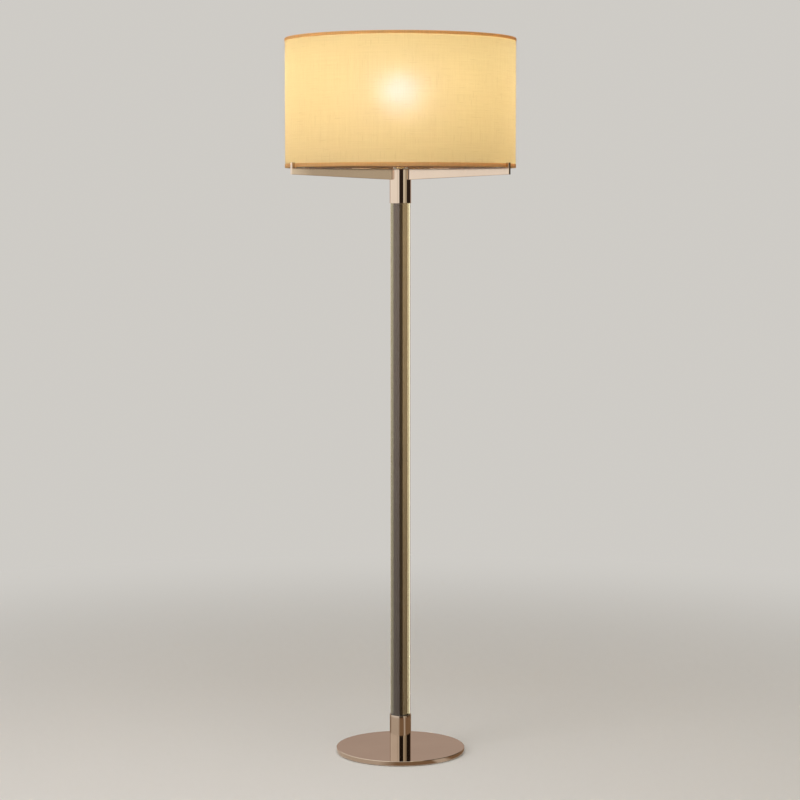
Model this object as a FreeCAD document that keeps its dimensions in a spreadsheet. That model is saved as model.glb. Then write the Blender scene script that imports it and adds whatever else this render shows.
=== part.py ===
import FreeCAD, Part
import math
import os
from types import SimpleNamespace

import Sketcher

# A column floor lamp: a weighted disc, a clear glass column over a polished inner tube held
# between two collars, a three-arm spider, a socket with its bulb, and a linen drum shade.
# Frame: millimetres, +Z up, origin on the floor under the middle of the base, -Y to the front.

SIZES = {
    # base
    "plate_dia": 286.0,
    "plate_thick": 10.0,
    "plate_chamfer": 0.8,
    "recess_dia": 64.0,
    "recess_depth": 7.0,
    "channel_radius": 4.0,
    "felt_thick": 1.2,
    "felt_inset": 3.0,
    "bushing_wall": 0.9,
    "bushing_length": 12.0,
    "bushing_lip": 2.0,
    "bushing_lip_thick": 1.5,
    "washer_dia": 40.0,
    "washer_thick": 1.5,
    "nut_flats": 14.0,
    "base_nut_thick": 3.0,
    # threaded pipe up the middle
    "pipe_dia": 10.0,
    "pipe_bore": 7.0,
    "pipe_clear": 0.2,
    "pipe_grip": 6.0,
    # glass column, its inner tube, and what centres them
    "glass_dia": 44.0,
    "glass_wall": 5.0,
    "glass_length": 1220.0,
    "tube_gap": 1.0,
    "tube_wall": 1.5,
    "bush_rim_thick": 2.0,
    "bush_plug": 12.0,
    "gasket_inset": 0.4,
    # collars
    "glass_clear": 0.3,
    "collar_wall": 1.45,
    "collar_break": 0.35,
    "seat_depth": 42.0,
    "lower_collar_height": 72.8,
    "lower_web": 6.0,
    "lower_cavity_wall": 5.75,
    "upper_web": 9.6,
    "upper_cavity_wall": 3.35,
    # spider
    "arm_thick": 8.0,
    "arm_root_height": 24.4,
    "arm_tip_height": 14.5,
    "arm_break": 0.5,
    "tab_gap": 8.6,
    "tab_thick": 7.5,
    "tab_rise": 11.0,
    "slot_clear": 0.1,
    "hub_clear": 0.4,
    "hub_core_wall": 3.8,
    "spider_plate_thick": 3.0,
    "screw_dia": 4.0,
    "screw_head_dia": 7.0,
    "screw_head_height": 2.4,
    "screw_bite": 12.0,
    "screw_edge": 5.5,
    "hub_nut_thick": 4.0,
    "pad_width": 7.0,
    "pad_length": 16.0,
    "pad_thick": 1.5,
    # socket
    "riser_wall": 2.8,
    "riser_height": 40.0,
    "cap_height": 17.0,
    "cap_wall": 1.2,
    "cap_neck_wall": 4.0,
    "cap_neck_height": 4.0,
    "cap_shoulder_height": 10.0,
    "shell_lap": 4.0,
    "shell_height": 50.0,
    "shell_wall": 0.8,
    "slip": 0.1,
    "liner_wall": 0.8,
    "block_height": 24.0,
    "screw_shell_gap": 0.9,
    "screw_shell_wall": 0.6,
    "screw_shell_height": 22.0,
    "contact_radius": 3.5,
    "contact_height": 2.0,
    "terminal_dia": 6.0,
    "terminal_height": 2.0,
    "terminal_spread": 18.0,
    # switch
    "switch_height": 11.0,
    "shaft_dia": 4.0,
    "shaft_fit": 0.05,
    "shaft_depth": 13.0,
    "shaft_hole_clear": 0.8,
    "shaft_reach": 5.0,
    "knob_gap": 1.5,
    "knob_dia": 9.0,
    "knob_length": 16.0,
    "knob_collar": 5.0,
    "knob_flat": 3.4,
    # bulb
    "bulb_cap_dia": 26.4,
    "bulb_cap_clear": 0.4,
    "bulb_cap_wall": 0.6,
    "bulb_cap_height": 22.0,
    "thread_pitch": 3.6,
    "thread_depth": 0.5,
    "thread_start": 2.0,
    "bulb_gap": 0.3,
    "bulb_contact_height": 2.2,
    "bulb_insulator_height": 2.5,
    "globe_dia": 60.0,
    "globe_wall": 1.0,
    "globe_rise": 53.3,
    "globe_tuck": 6.0,
    "neck_rise": 2.0,
    # shade
    "shade_dia": 508.0,
    "shade_height": 282.0,
    "trim_thick": 0.7,
    "top_trim_height": 6.8,
    "bottom_trim_height": 8.4,
    "fabric_thick": 1.0,
    "liner_thick": 0.8,
    "ring_wire": 4.0,
    "ring_clear": 0.1,
}

THREAD_TURNS = 5
ARM_AZIMUTHS = {"arm_rear": 90.0, "arm_left": 210.0, "arm_right": 330.0}
ACROSS_FLATS_TO_RADIUS = math.sqrt(3.0)

doc = FreeCAD.newDocument("ColumnFloorLamp")
parts = []


class Size:
    """A length that keeps its number together with the formula that binds it to the sheet."""

    def __init__(self, value, formula):
        self.value = value
        self.formula = formula

    def join(self, sign, other, value):
        return Size(value, f"({self.formula} {sign} {as_size(other).formula})")

    def __add__(self, other):
        return self.join("+", other, self.value + as_size(other).value)

    def __sub__(self, other):
        return self.join("-", other, self.value - as_size(other).value)

    def __mul__(self, number):
        return self.join("*", number, self.value * number)

    def __truediv__(self, number):
        return self.join("/", number, self.value / number)

    def __neg__(self):
        return Size(-self.value, f"(-1 * {self.formula})")


def as_size(length):
    return length if isinstance(length, Size) else Size(length, f"{length:.9f}")


def write_sheet():
    """Put every driving size in a cell of its own, under its own alias."""
    sheet = doc.addObject("Spreadsheet::Sheet", "Sizes")
    for row, (alias, value) in enumerate(SIZES.items(), start=1):
        sheet.set(f"A{row}", str(value))
        sheet.setAlias(f"A{row}", alias)
    doc.recompute()
    return SimpleNamespace(**{alias: Size(value, f"Sizes.{alias}") for alias, value in SIZES.items()})


S = write_sheet()
ZERO = as_size(0.0)


# ---- tools of the bench ------------------------------------------------------------------

def bind(thing, prop, length):
    thing.setExpression(prop, as_size(length).formula)


def lift(thing, height):
    bind(thing, "Placement.Base.z", height)


def register(thing, label):
    """Name a finished sub-part, so that it is checked and written out."""
    thing.Label = label
    parts.append(thing)
    return thing


def origin_feature(body, role):
    return next(item for item in body.Origin.OriginFeatures if item.Role == role)


def new_sketch(body, name, plane="XZ_Plane", offset=None):
    sketch = body.newObject("Sketcher::SketchObject", name)
    sketch.AttachmentSupport = [(origin_feature(body, plane), "")]
    sketch.MapMode = "FlatFace"
    if offset is not None:
        bind(sketch, "AttachmentOffset.Base.z", offset)
    return sketch


def pin(sketch, edge, end, across, up):
    """Hold one point of the sketch at its two distances from the sketch's origin."""
    for kind, length in (("DistanceX", as_size(across)), ("DistanceY", as_size(up))):
        index = sketch.addConstraint(Sketcher.Constraint(kind, -1, 1, edge, end, length.value))
        bind(sketch, f"Constraints[{index}]", length)


def draw_outline(sketch, corners):
    """Draw a closed outline of straight edges through the corners given as (across, up)."""
    corners = [(as_size(across), as_size(up)) for across, up in corners]
    following = corners[1:] + corners[:1]
    for (x0, y0), (x1, y1) in zip(corners, following):
        start = FreeCAD.Vector(x0.value, y0.value, 0)
        end = FreeCAD.Vector(x1.value, y1.value, 0)
        sketch.addGeometry(Part.LineSegment(start, end))
    for edge, (across, up) in enumerate(corners):
        after = (edge + 1) % len(corners)
        sketch.addConstraint(Sketcher.Constraint("Coincident", edge, 2, after, 1))
        pin(sketch, edge, 1, across, up)


def draw_circle(sketch, across, up, radius):
    across, up, radius = as_size(across), as_size(up), as_size(radius)
    middle = FreeCAD.Vector(across.value, up.value, 0)
    edge = sketch.addGeometry(Part.Circle(middle, FreeCAD.Vector(0, 0, 1), radius.value))
    pin(sketch, edge, 3, across, up)
    index = sketch.addConstraint(Sketcher.Constraint("Radius", edge, radius.value))
    bind(sketch, f"Constraints[{index}]", radius)


def revolve(body, sketch, kind="Revolution"):
    turn = body.newObject(f"PartDesign::{kind}", sketch.Name + "_turn")
    turn.Profile = sketch
    turn.ReferenceAxis = (sketch, ["V_Axis"])
    turn.Angle = 360
    return turn


def turned(label, outline, base=ZERO):
    """A body turned about the lamp's axis from an outline of (radius, height) corners."""
    body = doc.addObject("PartDesign::Body", label)
    sketch = new_sketch(body, label + "_profile")
    draw_outline(sketch, outline)
    revolve(body, sketch)
    lift(body, base)
    return register(body, label)


def turned_ring(label, inner, outer, height, base):
    return turned(label, [(inner, 0), (outer, 0), (outer, height), (inner, height)], base)


def pocket(body, name, sketch, reverse=False, depth=None):
    cut = body.newObject("PartDesign::Pocket", name)
    cut.Profile = sketch
    cut.Reversed = reverse
    if depth is None:
        cut.Type = "ThroughAll"
    else:
        bind(cut, "Length", depth)
    return cut


def repeat_round(body, feature):
    """Repeat a feature at every arm, evenly round the lamp's axis."""
    pattern = body.newObject("PartDesign::PolarPattern", feature.Name + "_round")
    pattern.Originals = [feature]
    pattern.Axis = (origin_feature(body, "Z_Axis"), [""])
    pattern.Angle = 360
    pattern.Occurrences = len(ARM_AZIMUTHS)
    body.Tip = pattern


def cylinder(name, radius, height, base=ZERO):
    item = doc.addObject("Part::Cylinder", name)
    bind(item, "Radius", radius)
    bind(item, "Height", height)
    lift(item, base)
    return item


def cone(label, lower_radius, upper_radius, height, base):
    item = doc.addObject("Part::Cone", label)
    bind(item, "Radius1", lower_radius)
    bind(item, "Radius2", upper_radius)
    bind(item, "Height", height)
    lift(item, base)
    return register(item, label)


def box(name, size, corner):
    item = doc.addObject("Part::Box", name)
    for prop, length in zip(("Length", "Width", "Height"), size):
        bind(item, prop, length)
    for axis, length in zip("xyz", corner):
        bind(item, f"Placement.Base.{axis}", length)
    return item


def along_y(item, start, height):
    """Lay a cylinder along +Y, from start, with its axis at the given height."""
    item.Placement = FreeCAD.Placement(
        FreeCAD.Vector(0, 0, 0), FreeCAD.Rotation(FreeCAD.Vector(1, 0, 0), -90))
    bind(item, "Placement.Base.y", start)
    lift(item, height)
    return item


def fuse(name, items):
    whole = doc.addObject("Part::MultiFuse", name)
    whole.Shapes = items
    return whole


def cut_out(name, base, tool):
    whole = doc.addObject("Part::Cut", name)
    whole.Base = base
    whole.Tool = tool
    return whole


def group(label, items):
    """Several like pieces that share one sub-part, each a solid of its own."""
    whole = doc.addObject("Part::Compound", label)
    whole.Links = items
    return register(whole, label)


def turn_to(item, azimuth, reach=ZERO, aside=ZERO):
    """Turn a piece about the lamp's axis, with its corner at a reach along and aside of its azimuth."""
    angle = math.radians(azimuth)
    height = item.Placement.Base.z
    item.Placement = FreeCAD.Placement(
        FreeCAD.Vector(0, 0, height), FreeCAD.Rotation(FreeCAD.Vector(0, 0, 1), azimuth))
    bind(item, "Placement.Base.x", reach * math.cos(angle) - aside * math.sin(angle))
    bind(item, "Placement.Base.y", reach * math.sin(angle) + aside * math.cos(angle))


def hex_nut(label, thickness, base):
    blank = doc.addObject("Part::Prism", label + "_hexagon")
    blank.Polygon = 6
    bind(blank, "Circumradius", S.nut_flats / ACROSS_FLATS_TO_RADIUS)
    bind(blank, "Height", thickness)
    nut = cut_out(label, blank, cylinder(label + "_hole", pipe_hole, thickness))
    lift(nut, base)
    return register(nut, label)


# ---- places that several pieces share ----------------------------------------------------

plate_base = S.felt_thick
plate_top = plate_base + S.plate_thick
plate_radius = S.plate_dia / 2

pipe_hole = S.pipe_dia / 2 + S.pipe_clear
base_washer_base = plate_base + S.recess_depth - S.washer_thick
base_nut_base = base_washer_base - S.base_nut_thick

collar_seat = S.glass_dia / 2 + S.glass_clear
collar_radius = collar_seat + S.collar_wall
lower_collar_top = plate_top + S.lower_collar_height
lower_seat = lower_collar_top - S.seat_depth
glass_base = lower_seat + S.bush_rim_thick
glass_top = glass_base + S.glass_length
upper_seat = glass_top + S.bush_rim_thick
upper_collar_base = upper_seat - S.seat_depth
arm_bottom = upper_seat + S.upper_web
arm_top = arm_bottom + S.arm_root_height

tube_radius = S.glass_dia / 2 - S.glass_wall - S.tube_gap
tube_bore = tube_radius - S.tube_wall

cavity_radius = collar_radius - S.upper_cavity_wall
hub_radius = cavity_radius - S.hub_clear
hub_core = pipe_hole + S.hub_core_wall
spider_plate_base = arm_top - S.spider_plate_thick
screw_ring = hub_radius - S.screw_edge

shade_radius = S.shade_dia / 2
shade_base = arm_top + S.pad_thick
shade_top = shade_base + S.shade_height
fabric_radius = shade_radius - S.trim_thick
liner_radius = fabric_radius - S.fabric_thick
shade_bore = liner_radius - S.liner_thick
ring_radius = shade_bore - S.ring_clear - S.ring_wire / 2
tab_face = shade_radius + S.tab_gap

hub_nut_base = arm_top
riser_base = hub_nut_base + S.hub_nut_thick
socket_base = riser_base + S.riser_height
cap_rim = socket_base + S.cap_height
shell_base = cap_rim - S.shell_lap
block_top = shell_base + S.block_height
switch_level = shell_base + S.switch_height

bulb_cap_radius = S.bulb_cap_dia / 2
screw_shell_bore = bulb_cap_radius + S.bulb_cap_clear
screw_shell_radius = screw_shell_bore + S.screw_shell_wall
socket_liner_bore = screw_shell_radius + S.screw_shell_gap
socket_liner_radius = socket_liner_bore + S.liner_wall
shell_bore = socket_liner_radius + S.slip
shell_radius = shell_bore + S.shell_wall
cap_bore = shell_radius + S.slip
cap_radius = cap_bore + S.cap_wall
block_radius = socket_liner_bore - S.slip
shaft_hole = S.shaft_dia / 2 + S.shaft_hole_clear

bulb_base = block_top + S.contact_height + S.bulb_gap
bulb_insulator_base = bulb_base + S.bulb_contact_height
bulb_cap_base = bulb_insulator_base + S.bulb_insulator_height
bulb_cap_top = bulb_cap_base + S.bulb_cap_height
thread_root = bulb_cap_radius - S.thread_depth
bulb_cap_bore = thread_root - S.bulb_cap_wall


# ---- base --------------------------------------------------------------------------------

def make_base_plate():
    """Heavy disc: chamfered rim, nut recess underneath, cord channel from it to the rear."""
    recess = S.recess_dia / 2
    body = turned("base_plate", [
        (recess, 0),
        (plate_radius, 0),
        (plate_radius, S.plate_thick - S.plate_chamfer),
        (plate_radius - S.plate_chamfer, S.plate_thick),
        (pipe_hole, S.plate_thick),
        (pipe_hole, S.recess_depth),
        (recess, S.recess_depth),
    ], plate_base)
    channel_start = recess - S.channel_radius
    sketch = new_sketch(body, "channel_section", "XZ_Plane", -channel_start)
    draw_arch(sketch, S.channel_radius)
    pocket(body, "channel", sketch)


def draw_arch(sketch, radius):
    """A slot section: flat foot at height zero, upright sides and a half-round roof."""
    r = radius.value
    corners = [(-radius, ZERO), (radius, ZERO), (radius, radius), (-radius, radius)]
    points = [FreeCAD.Vector(x.value, y.value, 0) for x, y in corners]
    foot = sketch.addGeometry(Part.LineSegment(points[0], points[1]))
    right = sketch.addGeometry(Part.LineSegment(points[1], points[2]))
    circle = Part.Circle(FreeCAD.Vector(0, r, 0), FreeCAD.Vector(0, 0, 1), r)
    roof = sketch.addGeometry(Part.ArcOfCircle(circle, 0, math.pi))
    left = sketch.addGeometry(Part.LineSegment(points[3], points[0]))
    for edge, after in ((foot, right), (right, roof), (roof, left), (left, foot)):
        sketch.addConstraint(Sketcher.Constraint("Coincident", edge, 2, after, 1))
    for edge, (across, up) in zip((foot, right, roof, left), corners):
        pin(sketch, edge, 1, across, up)
    index = sketch.addConstraint(Sketcher.Constraint("DistanceY", -1, 1, roof, 3, r))
    bind(sketch, f"Constraints[{index}]", radius)


def make_felt_pad():
    turned("felt_pad", [
        (0, 0),
        (plate_radius - S.felt_inset, 0),
        (plate_radius - S.felt_inset, S.felt_thick),
        (0, S.felt_thick),
    ])


def make_cord_bushing():
    """Lined inlet in the rear end of the channel, with a lip against the plate's edge."""
    r = S.channel_radius
    inner_end = plate_radius - S.bushing_length
    axis_height = plate_base + r
    whole_length = S.bushing_length + S.bushing_lip_thick
    foot = box("bushing_foot", (r * 2, S.bushing_length, r), (-r, inner_end, plate_base))
    roof = along_y(cylinder("bushing_roof", r, S.bushing_length), inner_end, axis_height)
    lip_width = (r + S.bushing_lip) * 2
    lip = box(
        "bushing_lip_plate",
        (lip_width, S.bushing_lip_thick, r * 2 + S.plate_chamfer),
        (-lip_width / 2, plate_radius, plate_base))
    bore = along_y(cylinder("bushing_bore", r - S.bushing_wall, whole_length), inner_end, axis_height)
    solid = fuse("bushing_blank", [foot, roof, lip])
    register(cut_out("cord_bushing", solid, bore), "cord_bushing")


def make_base_fixings():
    turned_ring("base_washer", pipe_hole, S.washer_dia / 2, S.washer_thick, base_washer_base)
    hex_nut("base_nut", S.base_nut_thick, base_nut_base)


# ---- column ------------------------------------------------------------------------------

def make_center_pipe():
    """Hollow threaded pipe that clamps the whole column from base nut to socket cap."""
    length = socket_base + S.pipe_grip - base_nut_base
    outside = cylinder("pipe_outside", S.pipe_dia / 2, length)
    bore = cylinder("pipe_bore_hole", S.pipe_bore / 2, length)
    pipe = cut_out("center_pipe", outside, bore)
    lift(pipe, base_nut_base)
    register(pipe, "center_pipe")


def make_lower_collar():
    cavity = collar_radius - S.lower_cavity_wall
    seat = S.lower_collar_height - S.seat_depth
    turned("lower_collar", [
        (cavity, 0),
        (collar_radius, 0),
        (collar_radius, S.lower_collar_height - S.collar_break),
        (collar_radius - S.collar_break, S.lower_collar_height),
        (collar_seat, S.lower_collar_height),
        (collar_seat, seat),
        (pipe_hole, seat),
        (pipe_hole, seat - S.lower_web),
        (cavity, seat - S.lower_web),
    ], plate_top)


def make_upper_collar():
    """Collar over the glass, with a cavity on top that the hub and the arms sit in."""
    web_top = S.seat_depth + S.upper_web
    height = web_top + S.arm_root_height
    body = turned("upper_collar", [
        (collar_seat, 0),
        (collar_radius - S.collar_break, 0),
        (collar_radius, S.collar_break),
        (collar_radius, height - S.collar_break),
        (collar_radius - S.collar_break, height),
        (cavity_radius, height),
        (cavity_radius, web_top),
        (pipe_hole, web_top),
        (pipe_hole, S.seat_depth),
        (collar_seat, S.seat_depth),
    ], upper_collar_base)
    half_width = S.arm_thick / 2 + S.slot_clear
    cut_arm_slots(body, "collar_slot", half_width, hub_core, collar_radius * 2, web_top)


def cut_arm_slots(body, name, half_width, start, end, base):
    """Cut one upright slot towards the rear, and repeat it for every arm."""
    sketch = new_sketch(body, name + "_plan", "XY_Plane", base)
    draw_outline(sketch, [(-half_width, start), (half_width, start), (half_width, end), (-half_width, end)])
    repeat_round(body, pocket(body, name, sketch, reverse=True))


def make_glass_column():
    turned_ring("glass_column", S.glass_dia / 2 - S.glass_wall, S.glass_dia / 2, S.glass_length, glass_base)


def make_inner_tube():
    turned_ring("inner_tube", tube_bore, tube_radius, S.glass_length, glass_base)


def make_gaskets():
    inner = tube_radius + S.tube_gap
    outer = S.glass_dia / 2 - S.gasket_inset
    turned_ring("lower_gasket", inner, outer, S.bush_rim_thick, lower_seat)
    turned_ring("upper_gasket", inner, outer, S.bush_rim_thick, glass_top)


def make_bushes():
    """Flanged bushes that centre the inner tube on the pipe, one at each end."""
    plug = tube_bore - S.slip
    rim = S.bush_rim_thick
    turned("lower_bush", [
        (pipe_hole, 0),
        (tube_radius, 0),
        (tube_radius, rim),
        (plug, rim),
        (plug, rim + S.bush_plug),
        (pipe_hole, rim + S.bush_plug),
    ], lower_seat)
    turned("upper_bush", [
        (pipe_hole, 0),
        (plug, 0),
        (plug, S.bush_plug),
        (tube_radius, S.bush_plug),
        (tube_radius, S.bush_plug + rim),
        (pipe_hole, S.bush_plug + rim),
    ], glass_top - S.bush_plug)


# ---- spider ------------------------------------------------------------------------------

def make_spider_hub():
    height = S.arm_root_height - S.spider_plate_thick
    body = turned("spider_hub", [(pipe_hole, 0), (hub_radius, 0), (hub_radius, height), (pipe_hole, height)],
                  arm_bottom)
    cut_arm_slots(body, "hub_slot", S.arm_thick / 2, hub_core, hub_radius * 2, ZERO)


def make_arm(label, azimuth):
    """Flat tapered blade, drawn from its root in the hub to the upright tab at its tip."""
    root_top = S.arm_root_height - S.spider_plate_thick
    end = tab_face + S.tab_thick
    body = doc.addObject("PartDesign::Body", label)
    side = new_sketch(body, label + "_side")
    draw_outline(side, [
        (hub_core, 0),
        (collar_radius, 0),
        (end, S.arm_root_height - S.arm_tip_height),
        (end, S.arm_root_height + S.tab_rise),
        (tab_face, S.arm_root_height + S.tab_rise),
        (tab_face, S.arm_root_height),
        (cavity_radius, S.arm_root_height),
        (cavity_radius, root_top),
        (hub_core, root_top),
    ])
    blade = body.newObject("PartDesign::Pad", label + "_blade")
    blade.Profile = side
    blade.SideType = "Symmetric"
    bind(blade, "Length", S.arm_thick)
    hole_plan = new_sketch(body, label + "_screw_plan", "XY_Plane", root_top)
    draw_circle(hole_plan, screw_ring, 0, S.screw_dia / 2)
    drilled = pocket(body, label + "_screw_hole", hole_plan, depth=S.screw_bite)
    doc.recompute()
    edges = body.newObject("PartDesign::Chamfer", label + "_break")
    edges.Base = (drilled, outer_edges(drilled.Shape))
    bind(edges, "Size", S.arm_break)
    lift(body, arm_bottom)
    doc.recompute()
    turn_to(body, azimuth)
    register(body, label)


def outer_edges(shape):
    """Names of a blade's long edges outside the collar: those that run in its two side faces."""
    half = S.arm_thick.value / 2
    clear = collar_radius.value - 1e-3
    names = []
    for number, edge in enumerate(shape.Edges, start=1):
        ends = [vertex.Point for vertex in edge.Vertexes]
        in_side_face = len({round(point.y, 4) for point in ends}) == 1 and abs(abs(ends[0].y) - half) < 1e-3
        if in_side_face and max(point.x for point in ends) > clear:
            names.append(f"Edge{number}")
    return names


def make_spider_plate():
    body = turned("spider_plate", [
        (pipe_hole, 0),
        (hub_radius, 0),
        (hub_radius, S.spider_plate_thick),
        (pipe_hole, S.spider_plate_thick),
    ], spider_plate_base)
    plan = new_sketch(body, "plate_screw_plan", "XY_Plane", ZERO)
    draw_circle(plan, 0, screw_ring, S.screw_dia / 2)
    repeat_round(body, pocket(body, "plate_screw_hole", plan, reverse=True))


def make_arm_screws():
    screws = []
    shank_length = S.spider_plate_thick + S.screw_bite
    for label, azimuth in ARM_AZIMUTHS.items():
        shank = cylinder(label + "_shank", S.screw_dia / 2, shank_length, -shank_length)
        head = cylinder(label + "_head", S.screw_head_dia / 2, S.screw_head_height)
        screw = fuse(label + "_screw", [shank, head])
        lift(screw, arm_top)
        doc.recompute()
        turn_to(screw, azimuth, screw_ring)
        screws.append(screw)
    group("arm_screws", screws)


def make_shade_pads():
    """Silicone strips on the arms, just under the shade's lower edge."""
    pads = []
    inner_end = shade_radius - S.pad_length
    for label, azimuth in ARM_AZIMUTHS.items():
        pad = box(label + "_pad", (S.pad_length, S.pad_width, S.pad_thick), (ZERO, ZERO, arm_top))
        turn_to(pad, azimuth, inner_end, -S.pad_width / 2)
        pads.append(pad)
    group("shade_pads", pads)


# ---- socket and switch -------------------------------------------------------------------

def make_socket_casing():
    turned_ring("socket_riser", pipe_hole, pipe_hole + S.riser_wall, S.riser_height, riser_base)
    neck = pipe_hole + S.cap_neck_wall
    floor = S.cap_neck_height + S.cap_wall
    turned("socket_cap", [
        (S.pipe_dia / 2, 0),
        (neck, 0),
        (neck, S.cap_neck_height),
        (cap_radius, S.cap_shoulder_height),
        (cap_radius, S.cap_height),
        (cap_bore, S.cap_height),
        (cap_bore, S.cap_shoulder_height + S.cap_wall),
        (neck, floor),
        (S.pipe_dia / 2, floor),
    ], socket_base)
    shell = turned_ring("socket_shell", shell_bore, shell_radius, S.shell_height, shell_base)
    bore_for_shaft(shell, "shell_shaft_hole", shaft_hole)
    liner_height = S.shell_height - S.shell_wall
    liner = turned_ring("socket_liner", socket_liner_bore, socket_liner_radius, liner_height, shell_base)
    bore_for_shaft(liner, "liner_shaft_hole", shaft_hole)


def bore_for_shaft(body, name, radius):
    """Bore the rear wall of a socket piece for the switch shaft."""
    sketch = new_sketch(body, name + "_section")
    draw_circle(sketch, 0, S.switch_height, radius)
    pocket(body, name, sketch)


def make_socket_inside():
    block = turned("socket_block", [(0, 0), (block_radius, 0), (block_radius, S.block_height),
                                    (0, S.block_height)], shell_base)
    section = new_sketch(block, "block_shaft_section", "XZ_Plane", -(block_radius - S.shaft_depth))
    draw_circle(section, 0, S.switch_height, S.shaft_dia / 2 + S.shaft_fit)
    pocket(block, "block_shaft_hole", section)
    floor_hole = S.contact_radius + S.screw_shell_gap
    turned("screw_shell", [
        (floor_hole, 0),
        (screw_shell_radius, 0),
        (screw_shell_radius, S.screw_shell_height),
        (screw_shell_bore, S.screw_shell_height),
        (screw_shell_bore, S.screw_shell_wall),
        (floor_hole, S.screw_shell_wall),
    ], block_top)
    register(cylinder("center_contact", S.contact_radius, S.contact_height, block_top), "center_contact")
    heads = []
    for side, place in (("left", -S.terminal_spread / 2), ("right", S.terminal_spread / 2)):
        head = cylinder(f"{side}_terminal", S.terminal_dia / 2, S.terminal_height, shell_base - S.terminal_height)
        bind(head, "Placement.Base.x", place)
        heads.append(head)
    group("terminal_screws", heads)


def make_switch():
    """Shaft that turns in the block, and the flat-sided knob on its outer end."""
    inner_end = block_radius - S.shaft_depth
    knob_start = cap_radius + S.knob_gap
    shaft_length = knob_start + S.shaft_reach - inner_end
    shaft = cylinder("switch_shaft", S.shaft_dia / 2, shaft_length)
    register(along_y(shaft, inner_end, switch_level), "switch_shaft")
    collar = cylinder("knob_collar_disc", S.knob_dia / 2, S.knob_collar)
    wing = box("knob_wing", (S.knob_dia, S.knob_flat, S.knob_length),
               (-(S.knob_dia / 2), -(S.knob_flat / 2), ZERO))
    blank = fuse("knob_blank", [collar, wing])
    knob = cut_out("switch_knob", blank, cylinder("knob_hole", S.shaft_dia / 2, S.shaft_reach))
    register(along_y(knob, knob_start, switch_level), "switch_knob")


# ---- bulb --------------------------------------------------------------------------------

def make_bulb_base():
    cone("bulb_contact", S.contact_radius - S.slip, S.contact_radius, S.bulb_contact_height, bulb_base)
    cone("bulb_insulator", S.contact_radius, thread_root, S.bulb_insulator_height, bulb_insulator_base)
    outside = [(thread_root, S.thread_start)]
    for turn in range(THREAD_TURNS):
        crest = S.thread_start + S.thread_pitch * (turn + 0.5)
        outside.append((bulb_cap_radius, crest))
        outside.append((thread_root, crest + S.thread_pitch / 2))
    turned("bulb_cap", [(bulb_cap_bore, 0), (thread_root, 0)] + outside
           + [(thread_root, S.bulb_cap_height), (bulb_cap_bore, S.bulb_cap_height)], bulb_cap_base)


def make_bulb_globe():
    """Hollow glass: a straight neck, a flare tangent to it, and a round top tangent to that."""
    neck = bulb_cap_bore - S.slip
    body = doc.addObject("PartDesign::Body", "bulb_globe")
    outside = new_sketch(body, "globe_outside")
    draw_bulb_outline(outside, neck, S.globe_dia / 2, ZERO)
    revolve(body, outside)
    inside = new_sketch(body, "globe_inside")
    draw_bulb_outline(inside, neck - S.globe_wall, S.globe_dia / 2 - S.globe_wall, -S.globe_tuck)
    revolve(body, inside, "Groove")
    lift(body, bulb_cap_top - S.globe_tuck)
    register(body, "bulb_globe")


def draw_bulb_outline(sketch, neck, crown, foot):
    """Half outline of a bulb's glass, from its foot up the neck and over the crown to the axis."""
    shoulder = S.globe_tuck + S.neck_rise
    middle = shoulder + S.globe_rise - S.neck_rise
    rise = middle.value - shoulder.value
    flare = (neck.value ** 2 + rise ** 2 - crown.value ** 2) / (2 * (crown.value - neck.value))
    lean = math.atan2(rise, neck.value + flare)
    z_axis = FreeCAD.Vector(0, 0, 1)
    axis_foot = FreeCAD.Vector(0, foot.value, 0)
    neck_foot = FreeCAD.Vector(neck.value, foot.value, 0)
    neck_top = FreeCAD.Vector(neck.value, shoulder.value, 0)
    apex = FreeCAD.Vector(0, middle.value + crown.value, 0)
    flare_circle = Part.Circle(FreeCAD.Vector(neck.value + flare, shoulder.value, 0), z_axis, flare)
    crown_circle = Part.Circle(FreeCAD.Vector(0, middle.value, 0), z_axis, crown.value)
    base = sketch.addGeometry(Part.LineSegment(axis_foot, neck_foot))
    wall = sketch.addGeometry(Part.LineSegment(neck_foot, neck_top))
    bend = sketch.addGeometry(Part.ArcOfCircle(flare_circle, math.pi - lean, math.pi))
    dome = sketch.addGeometry(Part.ArcOfCircle(crown_circle, -lean, math.pi / 2))
    close = sketch.addGeometry(Part.LineSegment(apex, axis_foot))
    sketch.addConstraint(Sketcher.Constraint("Coincident", base, 2, wall, 1))
    sketch.addConstraint(Sketcher.Constraint("Tangent", wall, 2, bend, 2))
    sketch.addConstraint(Sketcher.Constraint("Tangent", bend, 1, dome, 1))
    sketch.addConstraint(Sketcher.Constraint("Coincident", dome, 2, close, 1))
    sketch.addConstraint(Sketcher.Constraint("Coincident", close, 2, base, 1))
    pin(sketch, base, 1, ZERO, foot)
    pin(sketch, wall, 1, neck, foot)
    pin(sketch, wall, 2, neck, shoulder)
    pin(sketch, dome, 3, ZERO, middle)
    pin(sketch, close, 1, ZERO, middle + crown)


# ---- shade -------------------------------------------------------------------------------

def make_shade_walls():
    edge = S.trim_thick
    height = S.shade_height - edge * 2
    turned_ring("shade_fabric", liner_radius, fabric_radius, height, shade_base + edge)
    turned_ring("shade_liner", shade_bore, liner_radius, height, shade_base + edge)


def trim_outline(height, up):
    """Folded band over an edge: an outer leg, the fold, and an inner leg behind the wire ring."""
    fold_inside = ring_radius - S.ring_wire / 2 - S.ring_clear
    fold = S.trim_thick
    legs = [
        (shade_radius, ZERO),
        (shade_radius, height),
        (fabric_radius, height),
        (fabric_radius, fold),
        (fold_inside, fold),
        (fold_inside, height),
        (fold_inside - fold, height),
        (fold_inside - fold, ZERO),
    ]
    return [(radius, level if up else -level) for radius, level in legs]


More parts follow.
